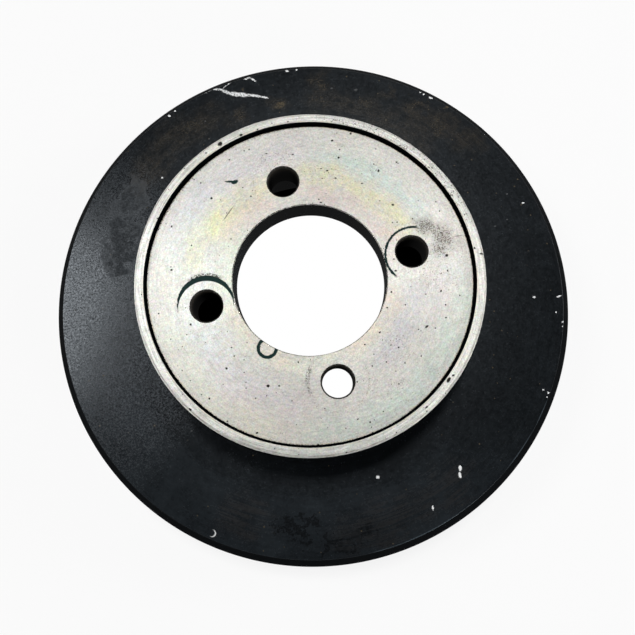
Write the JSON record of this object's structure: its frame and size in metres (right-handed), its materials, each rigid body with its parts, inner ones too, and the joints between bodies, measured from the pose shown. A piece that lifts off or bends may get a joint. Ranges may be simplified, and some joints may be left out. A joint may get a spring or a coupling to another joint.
{
  "type": "crankshaft pulley",
  "caption": "One-piece turned crankshaft pulley with a raised bolting boss, a wide flange and a V-ribbed belt rim.",
  "frame": {"origin": "centre of the rim's back edge, on the plane the pulley stands on", "axes": "+Z along the pulley's axis towards the bolting face, +X through one bolt hole"},
  "size_m": [0.236, 0.236, 0.0775],
  "materials": {
    "painted_iron": "satin"
  },
  "bodies": {
    "root": {"pulley": "painted_iron"}
  },
  "joints": []
}
